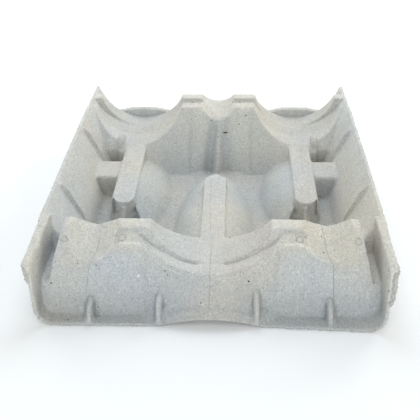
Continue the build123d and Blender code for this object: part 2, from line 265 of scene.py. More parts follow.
class Paint:
    """One material's nodes, put down and linked in a row."""

    def __init__(self, name):
        self.material = bpy.data.materials.new(name)
        self.material.use_nodes = True
        self.nodes = self.material.node_tree.nodes
        self.links = self.material.node_tree.links
        self.shader = self.nodes["Principled BSDF"]
        self.place = self.nodes.new("ShaderNodeTexCoord").outputs["Object"]

    def feed(self, socket, value):
        if isinstance(value, (int, float)):
            socket.default_value = value
        elif isinstance(value, tuple):
            socket.default_value = (*value, 1)
        else:
            self.links.new(value, socket)

    def grain(self, scale, detail=3.0, roughness=0.55, offset=None):
        texture = self.nodes.new("ShaderNodeTexNoise")
        texture.inputs["Scale"].default_value = scale
        texture.inputs["Detail"].default_value = detail
        texture.inputs["Roughness"].default_value = roughness
        self.links.new(self.moved(offset), texture.inputs["Vector"])
        return texture.outputs["Fac"]

    def moved(self, offset):
        if offset is None:
            return self.place
        shift = self.nodes.new("ShaderNodeMapping")
        shift.inputs["Location"].default_value = offset
        self.links.new(self.place, shift.inputs["Vector"])
        return shift.outputs["Vector"]

    def sums(self, operation, first, second):
        node = self.nodes.new("ShaderNodeMath")
        node.operation = operation
        self.feed(node.inputs[0], first)
        self.feed(node.inputs[1], second)
        return node.outputs[0]

    def ramp(self, value, stops, interpolation="LINEAR"):
        node = self.nodes.new("ShaderNodeValToRGB")
        band = node.color_ramp
        band.interpolation = interpolation
        for position, _ in stops[2:]:
            band.elements.new(position)
        for element, (position, colour) in zip(band.elements, stops):
            element.position = position
            element.color = (*colour, 1)
        self.links.new(value, node.inputs["Fac"])
        return node.outputs["Color"]

    def level(self, value, low, high, from_value, to_value):
        """A plain number that goes from one value to the other as the input rises."""
        node = self.nodes.new("ShaderNodeMapRange")
        node.inputs["From Min"].default_value = low
        node.inputs["From Max"].default_value = high
        node.inputs["To Min"].default_value = from_value
        node.inputs["To Max"].default_value = to_value
        self.links.new(value, node.inputs["Value"])
        return node.outputs["Result"]

    def blend(self, mode, amount, first, second):
        node = self.nodes.new("ShaderNodeMix")
        node.data_type = "RGBA"
        node.blend_type = mode
        self.feed(node.inputs["Factor"], amount)
        ports = [s for s in node.inputs if s.type == "RGBA"]
        self.feed(ports[0], first)
        self.feed(ports[1], second)
        return [s for s in node.outputs if s.type == "RGBA"][0]

    def dots(self, scale, size, share, offset):
        """Mask of small round dots, one in each chosen cell."""
        cells = self.nodes.new("ShaderNodeTexVoronoi")
        cells.inputs["Scale"].default_value = scale
        self.links.new(self.moved(offset), cells.inputs["Vector"])
        inside = self.sums("LESS_THAN", cells.outputs["Distance"], size)
        split = self.nodes.new("ShaderNodeSeparateColor")
        self.links.new(cells.outputs["Color"], split.inputs["Color"])
        chosen = self.sums("LESS_THAN", split.outputs["Red"], share)
        return self.sums("MULTIPLY", inside, chosen), cells.outputs["Color"]

    def relief(self, height, strength, distance, under=None):
        bump = self.nodes.new("ShaderNodeBump")
        bump.inputs["Strength"].default_value = strength
        bump.inputs["Distance"].default_value = distance
        self.links.new(height, bump.inputs["Height"])
        if under is not None:
            self.links.new(under, bump.inputs["Normal"])
        return bump.outputs["Normal"]


def grey(value):
    return (value, value, value)


def greys(stops):
    return [(position, grey(value)) for position, value in stops]


def pulp_finish(name, shade=1.0):
    paint = Paint(name)
    paint.shader.inputs["Roughness"].default_value = PULP_ROUGHNESS
    paint.shader.inputs["Specular IOR Level"].default_value = PULP_SPECULAR

    body = paint.ramp(paint.grain(*PATCHES), list(zip(PATCH_STOPS, (COOL_PULP, WARM_PULP))))
    for noise_shape, dark, pale in PULP_LAYERS:
        layer = paint.ramp(paint.grain(*noise_shape), greys([dark, pale]))
        body = paint.blend("MULTIPLY", 1.0, body, layer)

    dark_dots, _ = paint.dots(*DARK_DOTS)
    body = paint.blend("MULTIPLY", dark_dots, body, grey(DARK_DOT_SHARE))
    pale_dots, _ = paint.dots(*PALE_DOTS)
    body = paint.blend("MULTIPLY", pale_dots, body, PALE_DOT_SHARES)
    specks, speck_colour = paint.dots(*SPECKS)
    body = paint.blend("MIX", specks, body, paint.ramp(speck_colour, SPECK_TINTS, "CONSTANT"))
    parts = paint.nodes.new("ShaderNodeSeparateXYZ")
    paint.links.new(paint.place, parts.inputs["Vector"])
    # darker low in the tray: partly denser pulp, partly painted shade of the deep hollows
    deep = paint.level(parts.outputs["Z"], DEEP_LEVEL, HIGH_LEVEL, 0.0, 1.0)
    body = paint.blend("MULTIPLY", 1.0, body, paint.ramp(deep, greys(DEPTH_PULP_AND_PAINTED_SHADES)))
    # painted light and shade by place, read from the mesh
    tone_and_painted_light = paint.nodes.new("ShaderNodeAttribute")
    tone_and_painted_light.attribute_name = TONE_AND_PAINTED_LIGHT
    body = paint.blend("MULTIPLY", 1.0, body, tone_and_painted_light.outputs["Color"])
    if shade != 1.0:
        body = paint.blend("MULTIPLY", 1.0, body, grey(shade))
    paint.links.new(body, paint.shader.inputs["Base Color"])

    normal = paint.relief(wire_imprint(paint), *WIRE_RELIEF)
    for noise_shape, strength_and_height in GRAIN_RELIEFS:
        normal = paint.relief(paint.grain(*noise_shape), *strength_and_height, normal)
    paint.links.new(normal, paint.shader.inputs["Normal"])
    return paint.material


def wire_imprint(paint):
    """Fine ribs that the wire screen of the mould leaves, down slopes and across flats."""
    tilt = paint.nodes.new("ShaderNodeMapping")
    tilt.vector_type = "POINT"
    tilt.inputs["Rotation"].default_value = (WIRE_TILT, 0, 0)
    paint.links.new(paint.place, tilt.inputs["Vector"])
    ribs = []
    for axis in ("X", "Y"):
        wave = paint.nodes.new("ShaderNodeTexWave")
        wave.bands_direction = axis
        wave.inputs["Scale"].default_value = WIRE_SCALE
        wave.inputs["Distortion"].default_value = WIRE_DISTORTION
        wave.inputs["Detail"].default_value = WIRE_DETAIL
        wave.inputs["Detail Scale"].default_value = WIRE_DETAIL_SCALE
        paint.links.new(tilt.outputs["Vector"], wave.inputs["Vector"])
        ribs.append(wave.outputs["Fac"])
    return paint.sums("ADD", ribs[0], ribs[1])


def chip_finish(name, colour):
    paint = Paint(name)
    paint.shader.inputs["Roughness"].default_value = CHIP_ROUGHNESS
    patchy = paint.ramp(paint.grain(*CHIP_GRAIN), greys(CHIP_STOPS))
    body = paint.blend("MULTIPLY", 1.0, colour, patchy)
    paint.links.new(body, paint.shader.inputs["Base Color"])
    return paint.material


def baked(piece):
    """The piece with its modifiers worked into its mesh."""
    seen = piece.evaluated_get(bpy.context.evaluated_depsgraph_get())
    mesh = bpy.data.meshes.new_from_object(seen)
    piece.modifiers.clear()
    old = piece.data
    piece.data = mesh
    bpy.data.meshes.remove(old)


def in_box(point):
    low, high = cad_box
    return Vector([min(max(value, a), b) for value, a, b in zip(point, low, high)])


def rim_share(point):
    """1 on the cut edges of the rims, the hem and the back end, 0 away from them."""
    rim = abs(point.x) > RIM_OUT and point.z > RIM_LEVEL
    hem = point.y < HEM_Y
    back = point.y > cad_box[1].y - TORN_BAND
    return 1.0 if rim or hem or back else 0.0


# stiffening fins between hem and front face: middles with share of the height, side view as y and z
FIN_PLACES = ((-83.9, 1.0), (-35.4, 1.22), (32.9, 1.32), (83.8, 1.0))
FIN_SIDE = [(-156.4, 1.0), (-156.8, 7.0), (-155.0, 11.0), (-151.5, 13.6), (-147.0, 15.0), (-142.0, 15.2),
            (-138.5, 14.0)]
FIN_ROOT = [(-150.5, 1.0), (-150.5, 4.5), (-149.5, 7.5), (-147.0, 10.0), (-143.5, 11.2), (-139.0, 11.6),
            (-135.0, 10.0)]
FIN_HALVES = (1.3, 3.2)
# small ribs under the ends of the long strips, and the columns in the back pockets
STRIP_RIB_PLACES = ((-76.0, 1.0), (76.0, 1.0))
STRIP_RIB_SIDE = [(-20.0, 20.0), (-26.6, 18.6), (-28.6, 15.0), (-31.2, 12.0), (-34.0, 9.0), (-36.5, 5.0)]
STRIP_RIB_ROOT = [(-19.0, 19.0), (-22.0, 17.0), (-23.0, 14.0), (-24.0, 10.0), (-25.5, 7.0), (-27.0, 4.0)]
STRIP_RIB_HALVES = (1.4, 2.0)
COLUMN_PLACES = ((-91.8, 1.0), (91.8, 1.0))
COLUMN_SIDE = [(92.0, 31.0), (85.0, 29.5), (81.5, 26.0), (78.5, 19.0), (77.0, 11.0), (76.0, 3.0)]
COLUMN_ROOT = [(94.0, 29.0), (91.0, 27.0), (88.0, 23.0), (86.0, 16.0), (84.0, 9.0), (84.0, 3.0)]
COLUMN_HALVES = (2.8, 3.4)


def wedge(shape, x, rise, side, root, halves):
    """Closed wedge standing across the tray, let into it so that the even skin joins them."""
    edge, foot = halves
    rows = []
    for outline, half in ((root, -foot), (side, -edge), (side, edge), (root, foot)):
        rows.append([shape.verts.new(Vector((x + half, y, z * rise)) * MM) for y, z in outline])
    added = []
    for first, last in zip(rows, rows[1:] + rows[:1]):
        for k in range(len(first) - 1):
            added.append(shape.faces.new((first[k], first[k + 1], last[k + 1], last[k])))
    added.append(shape.faces.new([row[0] for row in rows]))
    added.append(shape.faces.new([row[-1] for row in rows]))
    bmesh.ops.recalc_face_normals(shape, faces=added)


def pulp_tray(pulp):
    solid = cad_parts["bottle_divider"]
    tray = bpy.data.objects.new("pulp_tray", solid.data.copy())
    bpy.context.collection.objects.link(tray)
    shape = bmesh.new()
    shape.from_mesh(tray.data)
    bmesh.ops.remove_doubles(shape, verts=shape.verts, dist=WELD)
    for places, side, root, halves in (
        (FIN_PLACES, FIN_SIDE, FIN_ROOT, FIN_HALVES),
        (STRIP_RIB_PLACES, STRIP_RIB_SIDE, STRIP_RIB_ROOT, STRIP_RIB_HALVES),
        (COLUMN_PLACES, COLUMN_SIDE, COLUMN_ROOT, COLUMN_HALVES),
    ):
        for x, rise in places:
            wedge(shape, x, rise, side, root, halves)
    shape.to_mesh(tray.data)
    shape.free()
    remesh = tray.modifiers.new("even_skin", "REMESH")
    remesh.mode = "VOXEL"
    remesh.voxel_size = SKIN_GRAIN
    remesh.use_smooth_shade = True
    baked(tray)
    soft = tray.vertex_groups.new(name="soft_edges")
    sharp = [v.index for v in tray.data.vertices if rim_share(v.co)]
    soft.add([v.index for v in tray.data.vertices], 1.0, "REPLACE")
    soft.add(sharp, SHARP_SHARE, "REPLACE")
    smooth = tray.modifiers.new("pressed_edges", "SMOOTH")
    smooth.factor = PRESSED_SHARE
    smooth.iterations = PRESSED_ROUNDS
    smooth.vertex_group = soft.name
    baked(tray)
    tray.vertex_groups.clear()
    uneven_sheet(tray.data)
    thin = tray.modifiers.new("fewer_faces", "DECIMATE")
    thin.ratio = min(1.0, MOST_TRIANGLES / (2 * len(tray.data.polygons)))
    baked(tray)
    for vertex in tray.data.vertices:
        vertex.co = in_box(vertex.co)
    tray.data.materials.clear()
    tray.data.materials.append(pulp)
    for face in tray.data.polygons:
        face.use_smooth = True
    return tray


def uneven_sheet(mesh):
    """Move the sheet into slow waves, small lumps, pads, folds, bulged knees and torn edges."""
    normals = [vertex.normal.copy() for vertex in mesh.vertices]
    for vertex, normal in zip(mesh.vertices, normals):
        place = vertex.co
        wave = noise.noise(place / WAVE_LENGTH)
        lump = noise.noise(place / LUMP_LENGTH + LUMP_SHIFT)
        moved = place + normal * (wave * WAVE_HEIGHT + lump * LUMP_HEIGHT)
        depth = pad_depth(place, normal)
        if depth:
            moved -= normal * depth
        moved += PANEL_WAY * panel_fold(place) + KNEE_WAY * knee(place)
        moved += Vector((0, strip_end(place), neck_dip(place))) * MM
        moved -= normal * hem_fold(place) * FOLD_DENT * MM
        if rim_share(place):
            bite = max(noise.noise(place / TORN_LENGTH + TORN_SHIFT), 0.0)
            inward = Vector((-math.copysign(1, place.x) if abs(place.x) > RIM_OUT else 0, 0, 0))
            if place.y < HEM_Y:
                inward += Vector((0, 1, 0))
            moved += inward * bite * TORN_DEPTH
        vertex.co = in_box(moved)


# the posts bulge at the knee between their upper slope, painted warmer and paler where light falls from
# above, and their steep foot:
# distance from the middle of the tray and place of the knee along it
KNEE_WAY = Vector((0, -0.84, 0.54)) * MM
KNEE_LINE = [(44, -134), (46, -132.6), (50, -128.5), (54, -126.5), (72, -126), (80, -127.5),
             (86, -130.3), (92, -132), (108, -130.5), (118, -129)]
KNEE_BULGE = 3.2
KNEE_FOOT = -145.0
KNEE_RISE = 9.0
KNEE_LOW = 5.0
# distances over which the bulge fades: toward the middle, toward the rim and toward the floor
KNEE_FADES = (4, 6, 4)


def on_line(line, value):
    """Height of a bent line over a value."""
    for (a, low), (b, high) in zip(line, line[1:]):
        if value <= b:
            return low + (high - low) * max(value - a, 0) / (b - a)
    return line[-1][1]


def knee(place):
    out, y, z = abs(place.x) / MM, place.y / MM, place.z / MM
    if z < KNEE_LOW or out < KNEE_LINE[0][0] or out > KNEE_LINE[-1][0]:
        return 0.0
    top = on_line(KNEE_LINE, out)
    end = top + KNEE_RISE
    if not KNEE_FOOT < y < end:
        return 0.0
    share = (y - KNEE_FOOT) / (top - KNEE_FOOT) if y < top else (end - y) / (end - top)
    to_middle, to_rim, to_floor = KNEE_FADES
    inner = min((out - KNEE_LINE[0][0]) / to_middle, (KNEE_LINE[-1][0] - out) / to_rim,
                (z - KNEE_LOW) / to_floor, 1.0)
    return KNEE_BULGE * share * inner


# crease where the middle of the front turns into the hem: middle, half width and reach from the middle
FOLD_Y = -150.4
FOLD_HALF = 1.5
FOLD_REACH = 30.0
FOLD_DENT = 1.1
FOLD_LOW = 4
# share of the dent at the middle, and what it gains toward its ends
FOLD_SHARES = (0.45, 0.55)


def hem_fold(place):
    out, y, z = abs(place.x) / MM, place.y / MM, place.z / MM
    if out > FOLD_REACH or z < FOLD_LOW:
        return 0.0
    away = (y - FOLD_Y) / FOLD_HALF
    return math.exp(-away * away) * (FOLD_SHARES[0] + FOLD_SHARES[1] * out / FOLD_REACH)


# the neck notches sink a little lower between posts and shoulders: middle and half width
NECK_OUT = 85.0
NECK_HALF = 7.0
NECK_SINK = 2.2
SHOULDER_OUT = 103.0
SHOULDER_HALF = 3.5
SHOULDER_RISE = 1.0
NECK_Y = (-126.0, -112.0, -90.0, -84.0)
NECK_LEVEL = 30 * MM


def neck_dip(place):
    out, y = abs(place.x) / MM, place.y / MM
    first, full, fading, last = NECK_Y
    if not first < y < last or place.z < NECK_LEVEL:
        return 0.0
    share = min((y - first) / (full - first), (last - y) / (last - fading), 1.0)
    sink = NECK_SINK * math.exp(-((out - NECK_OUT) / NECK_HALF) ** 2)
    rise = SHOULDER_RISE * math.exp(-((out - SHOULDER_OUT) / SHOULDER_HALF) ** 2)
    return (rise - sink) * share


# the long strips end round
STRIP_MIDDLE = 76.3
STRIP_HALF = 10.0
STRIP_END = -23.0
STRIP_REACH = 16.0
STRIP_LOW = 9
STRIP_BEFORE = 4
STRIP_FULLEST = 0.93


def strip_end(place):
    """How far the corners of the strips' ends draw back along the tray."""
    aside, y, z = abs(abs(place.x) / MM - STRIP_MIDDLE), place.y / MM, place.z / MM
    along_strip = STRIP_END - STRIP_BEFORE < y < STRIP_END + STRIP_REACH
    if aside > STRIP_HALF or z < STRIP_LOW or not along_strip:
        return 0.0
    round_off = STRIP_HALF - math.sqrt(STRIP_HALF ** 2 - min(aside, STRIP_HALF * STRIP_FULLEST) ** 2)
    return round_off * min(1.0, (STRIP_END + STRIP_REACH - y) / STRIP_REACH)


# folds that run down the back panel: distance from the middle at foot and top, depth, half width
PANEL_WAY = Vector((0, 0.7, -0.7)) * MM
PANEL_Y = (58.0, 114.0)
PANEL_FOLDS = [
    (-8.5, -1.6, 4.4, 4.2),
    (9.5, 4.6, 1.7, 4.4),
    (-26.0, -25.5, 1.5, 1.9),
    (31.5, 33.0, 1.3, 1.9),
    (0.8, 0.8, -1.2, 2.2),
    (-17.0, -16.0, -1.5, 5.5),
    (19.5, 20.0, -1.2, 6.5),
]
PANEL_FADES = (6.0, 3.5)


def panel_fold(place):
    y = place.y / MM
    if not PANEL_Y[0] < y < PANEL_Y[1]:
        return 0.0
    rise = (y - PANEL_Y[0]) / (PANEL_Y[1] - PANEL_Y[0])
    fade = min(1.0, PANEL_FADES[0] * rise, PANEL_FADES[1] * (1 - rise))
    total = 0.0
    for foot, top, depth, half in PANEL_FOLDS:
        away = (place.x / MM - foot - (top - foot) * rise) / half
        total += depth * math.exp(-away * away)
    return total * fade


# shallow pads pressed into the front slopes of the posts
PAD_X = (49.0 * MM, 69.5 * MM)
PAD_Y = (-120.6 * MM, -109.6 * MM)
PAD_DEPTH = 1.1 * MM
PAD_EDGE = 0.9 * MM
PAD_UP = 0.3


def pad_depth(place, normal):
    out = abs(place.x)
    if normal.z < PAD_UP or not (PAD_X[0] < out < PAD_X[1] and PAD_Y[0] < place.y < PAD_Y[1]):
        return 0.0
    near = min(out - PAD_X[0], PAD_X[1] - out, place.y - PAD_Y[0], PAD_Y[1] - place.y)
    return PAD_DEPTH * min(near / PAD_EDGE, 1.0)


# small tints of the pulp by place, as shares of its colour, set while comparing with the photograph: nearly
# all are painted light and shade, and the torn edges' tint is partly paler torn pulp
TONE_AND_PAINTED_LIGHT = "tone_and_painted_light"
PLAIN_TONE = (1.0, 1.0, 1.0)
# inner edge of the posts' steep feet: height and distance from the middle
POST_EDGE = [(0, 33.0), (12, 33.5), (16.5, 36.5), (27, 45.0), (35, 50.0), (60, 52.0)]
POST_OUT = 130
POST_SOFT = 2
POST_FRONT = (-1, -0.1, 0.2)
POST_UP = (0.1, 1, 0.2)
POST_FOOT_Y = -150
POST_TOP_Y = -98
KNEE_GAP = 1
FOOT_SOFT = 1.5
SLOPE_SOFT = 2
# depth of a panel fold at which its painted shade is full, and height of a lobe between folds at which its
# painted light is full
VALLEY_FULL = 2.4
LOBE_FULL = 1.4
# steps that face the front and carry painted shade: beside the walls, and at the back seats
STEP_OUT = (104, 126, 2)
STEP_SEAT_Y = (120, 140, 4)
STEP_SEAT_OUT = (84, 104, 4)

# tint, share that it starts from, and the spans where it lies. A span is its lowest and highest value
# and the distance over which it fades: out, y, z and from_fin in millimetres; sideways, along and up
# tell how far the surface faces those ways.
TINTS_AND_PAINTED_LIGHT = [
    # back panel, darker and cooler: painted shade
    ((0.92, 0.945, 0.96), None, {
        "y": (60, 111, 3), "along": (-0.9, -0.45, 0.15), "out": (0, 50, 8), "up": (0.3, 1, 0.2)}),
    # back saddles, darker and warmer: painted shade
    ((0.92, 0.915, 0.90), None, {"y": (112, 165, 6), "out": (44, 112, 8), "up": (0.6, 1, 0.2)}),
    # painted light: steep feet of the posts cooler as in front light, upper slopes warmer and paler as in
    # top light
    ((0.98, 1.00, 1.02), "post_foot", {}),
    ((1.025, 1.01, 0.97), "post_slope", {"out": (0, 102, 3)}),
    # painted shadow along the top edge of the pads and painted highlight on their lip
    ((0.91, 0.93, 0.96), None, {"out": (49, 69, 1.5), "y": (-110.5, -107.5, 1), "z": (36, 60, 2)}),
    ((1.12, 1.12, 1.10), None, {"out": (49, 69, 1.5), "y": (-122.5, -120.3, 1), "z": (30, 60, 2)}),
    # painted shade in the folds of the back panel, painted light on the lobes between them, and painted
    # shade in the crease in the hem
    ((0.88, 0.90, 0.93), "valley", {}),
    ((1.04, 1.035, 1.03), "lobe", {}),
    ((0.90, 0.92, 0.95), "hem_fold", {}),
    # painted shadow in the slots behind the back panel
    ((0.88, 0.88, 0.88), None, {
        "y": (128.8, 131.6, 0.8), "out": (15.5, 35.5, 1), "z": (49.2, 60, 0.5), "along": (-1, -0.4, 0.3)}),
    # painted shade beside the fins and painted highlight on their edges
    ((0.91, 0.92, 0.93), None, {"y": (-157, -145, 2), "from_fin": (2.0, 4.5, 1), "z": (3, 14, 3)}),
    ((1.05, 1.05, 1.04), None, {"y": (-162, -145, 2), "from_fin": (0, 1.3, 0.7), "z": (4, 19, 2)}),
    # torn edges paler: partly paler torn pulp, partly painted highlight on the cut edge
    ((1.10, 1.09, 1.07), "rim", {"up": (-1, 0.3, 0.2)}),
    # painted shade on steps that face the front
    ((0.92, 0.92, 0.91), "step", {"along": (-1, -0.6, 0.2), "y": (-46, 135, 1)}),
    # painted shade on both sides of the two side domes
    ((0.95, 0.975, 0.99), None, {"y": (-60, 60, 6), "out": (20, 66, 6), "sideways": (0.2, 1, 0.2)}),
]


def inside(value, low, high, soft):
    """1 between two values, falling to 0 over a soft distance outside them."""
    return max(min((value - low) / soft + 1, (high - value) / soft + 1, 1.0), 0.0)


def tint_shares(place, normal):
    """Each tint with its share at a point of the sheet."""
    x, y, z = (value / MM for value in place)
    out = abs(x)
    knee_y = on_line(KNEE_LINE, out)
    fold = panel_fold(place)
    post = inside(out, on_line(POST_EDGE, z), POST_OUT, POST_SOFT)
    post *= inside(normal.y, *POST_FRONT)
    post *= inside(normal.z, *POST_UP)
    starts = {
        None: 1.0,
        "post_foot": post * inside(y, POST_FOOT_Y, knee_y - KNEE_GAP, FOOT_SOFT),
        "post_slope": post * inside(y, knee_y + KNEE_GAP, POST_TOP_Y, SLOPE_SOFT),
        "valley": max(min(fold / VALLEY_FULL, 1.0), 0.0),
        "lobe": max(min(-fold / LOBE_FULL, 1.0), 0.0),
        "hem_fold": hem_fold(place),
        "rim": rim_share(place),
        "step": inside(out, *STEP_OUT) + inside(y, *STEP_SEAT_Y) * inside(out, *STEP_SEAT_OUT),
    }
    at = {
        "out": out, "y": y, "z": z,
        "sideways": abs(normal.x), "along": normal.y, "up": normal.z,
        "from_fin": min(abs(x - middle) for middle, _ in FIN_PLACES),
    }
    for tint, start, spans in TINTS_AND_PAINTED_LIGHT:
        share = starts[start]
        for measure, span in spans.items():
            share *= inside(at[measure], *span)
        yield tint, share


def lay_tone_and_painted_light(mesh):
    """Write the tints' painted light and shade at each point into the mesh, for its material to read."""
    colours = []
    for vertex in mesh.vertices:
        tone_and_painted_light = list(PLAIN_TONE)
        for shade, share in tint_shares(vertex.co, vertex.normal):
            if share:
                tone_and_painted_light = [t * (1 + (s - 1) * share) for t, s in zip(tone_and_painted_light, shade)]
        colours += [*tone_and_painted_light, 1.0]
    layer = mesh.color_attributes.new(TONE_AND_PAINTED_LIGHT, "FLOAT_COLOR", "POINT")
    layer.data.foreach_set("color", colours)


# lines that the mould leaves, drawn darker as seams and partly as painted shade of their ridges, as points
# in plan in millimetres, half width and height
MOULD_LINES = [
    ([(-81.9, -90.0), (-81.3, -104.0), (-81.6, -116.0), (-83.9, -128.4), (-85.3, -132.8), (-87.2, -138.5),
      (-87.8, -146.0)], 0.40, 0.30),
    ([(81.0, -92.0), (82.1, -104.0), (83.0, -116.0), (84.8, -126.0), (86.3, -132.0), (86.9, -140.5),
      (87.0, -146.0)], 0.60, 0.50),
    ([(119.5, -117.5), (122.0, -118.6), (125.5, -120.6)], 0.35, 0.25),
    ([(0.3, -72.0), (-0.4, -93.0), (-0.5, -121.0), (-0.2, -139.0), (-0.3, -152.0)], 0.36, 0.26),
    ([(-3.8, 22.0), (-3.2, -5.0), (-2.2, -45.0), (-1.8, -66.0)], 0.30, 0.20),
    ([(-87.5, 84.0), (-83.0, 55.0), (-80.6, 30.0)], 0.30, 0.20),
    ([(79.6, 84.0), (78.4, 55.0), (77.6, 30.0)], 0.30, 0.20),
]
# pale ridges, their paleness partly painted highlight on convex edges: rims of the hollow under the middle
# saddle, and the outer edges of the posts
CREASES = [
    ([(5.6, -131.7), (12.5, -130.6), (23.3, -128.4), (32.0, -127.2), (40.2, -126.2), (44.3, -124.0),
      (47.1, -121.6)], 0.55, 0.40),
    ([(-6.6, -131.7), (-13.1, -130.5), (-23.9, -128.4), (-35.7, -127.2), (-42.8, -124.2), (-45.6, -121.8)],
     0.55, 0.36),
    ([(69.0, -104.0), (69.3, -112.0), (70.5, -120.0), (73.5, -125.5), (78.6, -129.0)], 1.10, 0.50),
    ([(-69.0, -106.0), (-69.6, -112.0), (-71.0, -120.0), (-74.5, -125.5), (-80.0, -129.0)], 1.10, 0.34),
]
# round marks of the mould's screws: centre in plan, radius
ROUND_MARKS = [(-63.1, -115.2, 2.5), (63.4, -115.6, 2.6), (-104.2, -118.0, 2.2), (104.4, -118.3, 2.4)]
LINE_STEP = 0.8 * MM
LINE_ROOT = 0.15 * MM
DROP_FROM = 60 * MM
MARK_SIDES = 20
MARK_HALF = 0.50 * MM
MARK_RISE = 0.60 * MM
# rounds of averaging, height of a line's tip as a share, and steps to its full height
LINE_ROUNDS = 4
LINE_TIP = 0.2
LINE_FADE = 4


def drop(surface, x, y):
    """Where a plumb line at x, y meets the tray, and which way the tray faces there."""
    place, normal, _, _ = surface.ray_cast(Vector((x, y, DROP_FROM)), Vector((0, 0, -1)))
    return place, normal


def along(points, step):
    """Points at even steps on a run of straight stretches, corners rounded by averaging."""
    runs = [Vector(p).to_3d() * MM for p in points]
    dense = []
    for first, last in zip(runs, runs[1:]):
        count = max(int((last - first).length / step), 1)
        dense += [first.lerp(last, k / count) for k in range(count)]
    dense.append(runs[-1])
    for _ in range(LINE_ROUNDS):
        middle = [(a + b + c) / 3 for a, b, c in zip(dense, dense[1:], dense[2:])]
        dense = [dense[0]] + middle + [dense[-1]]
    return dense


def ridge(shape, surface, plan, half, height, closed=False):
    """Thin raised line of three-sided section that follows the tray under a plan of points."""
    spots = [drop(surface, p.x, p.y) for p in plan]
    spots = [(place, normal) for place, normal in spots if place is not None]
    rings = []
    count = len(spots)
    for k, (place, normal) in enumerate(spots):
        ahead = spots[(k + 1) % count][0] if closed or k + 1 < count else place
        behind = spots[k - 1][0] if closed or k else place
        sideways = (ahead - behind).cross(normal).normalized()
        fade = 1.0 if closed else min(1.0, LINE_TIP + min(k, count - 1 - k) / LINE_FADE)
        rings.append([
            shape.verts.new(in_box(place + sideways * half - normal * LINE_ROOT)),
            shape.verts.new(in_box(place + normal * height * fade)),
            shape.verts.new(in_box(place - sideways * half - normal * LINE_ROOT)),
        ])
    pairs = list(zip(rings, rings[1:])) + ([(rings[-1], rings[0])] if closed else [])
    for first, last in pairs:
        for a in range(3):
            b = (a + 1) % 3
            shape.faces.new((first[a], first[b], last[b], last[a]))
    if not closed:
        shape.faces.new(rings[0][::-1])
        shape.faces.new(rings[-1])


def piece_from(shape, name, material):
    bmesh.ops.recalc_face_normals(shape, faces=shape.faces)
    mesh = bpy.data.meshes.new(name)
    shape.to_mesh(mesh)
    shape.free()
    mesh.materials.append(material)
    piece = bpy.data.objects.new(name, mesh)
    bpy.context.collection.objects.link(piece)
    return piece


def pressed_lines(name, lines, surface, material):
    shape = bmesh.new()
    for points, half, height in lines:
        ridge(shape, surface, along(points, LINE_STEP), half * MM, height * MM)
    return piece_from(shape, name, material)


def round_marks(surface, material):
    shape = bmesh.new()
    for x, y, radius in ROUND_MARKS:
        turns = [2 * math.pi * k / MARK_SIDES for k in range(MARK_SIDES)]
        plan = [Vector((x + radius * math.cos(t), y + radius * math.sin(t), 0)) * MM for t in turns]
        ridge(shape, surface, plan, MARK_HALF, MARK_RISE, True)
    return piece_from(shape, "round_marks", material)


# torn edges at the front corners, in millimetres, and their half thickness
TORN_RUNS = [
    ([(125.0, -149.0, 50.2), (124.6, -155.5, 49.6), (123.8, -157.6, 46.5), (123.6, -158.2, 40.5),
      (123.4, -158.6, 34.0), (122.9, -159.0, 27.5), (121.8, -159.3, 22.0)], 2.0),
    ([(-125.0, -150.0, 50.0), (-124.4, -155.0, 49.4), (-123.4, -156.6, 46.5), (-123.0, -156.8, 42.0),
      (-122.6, -156.8, 36.5)], 1.7),
]
TORN_SIDES = 12
TORN_STEP = 0.6 * MM
TORN_TIP = 0.35
TORN_FADE = 8
# thickness as a share of the half thickness: its mean, how far it varies, and over what length
RAGGED_MEAN = 0.8
RAGGED_SWING = 0.75
RAGGED_LENGTH = 1.3 * MM


def torn_edges(material):
    """Ragged rolls of torn pulp along the front corners."""
    shape = bmesh.new()
    for points, thick in TORN_RUNS:
        run = along(points, TORN_STEP)
        rings = []
        for k, place in enumerate(run):
            ahead = (run[min(k + 1, len(run) - 1)] - run[max(k - 1, 0)]).normalized()
            side = ahead.cross(Vector((1, 0, 0))).normalized()
            other = ahead.cross(side)
            taper = min(1.0, TORN_TIP + min(k, len(run) - 1 - k) / TORN_FADE)
            ring = []
            for n in range(TORN_SIDES):
                turn = 2 * math.pi * n / TORN_SIDES
                way = side * math.cos(turn) + other * math.sin(turn)
                ragged = RAGGED_MEAN + RAGGED_SWING * noise.noise((place + way * thick * MM) / RAGGED_LENGTH)
                ring.append(shape.verts.new(in_box(place + way * thick * MM * ragged * taper)))
            rings.append(ring)
        for first, last in zip(rings, rings[1:]):
            for n in range(TORN_SIDES):
                after = (n + 1) % TORN_SIDES
                shape.faces.new((first[n], first[after], last[after], last[n]))
        shape.faces.new(rings[0][::-1])
        shape.faces.new(rings[-1])
    return piece_from(shape, "torn_edges", material)


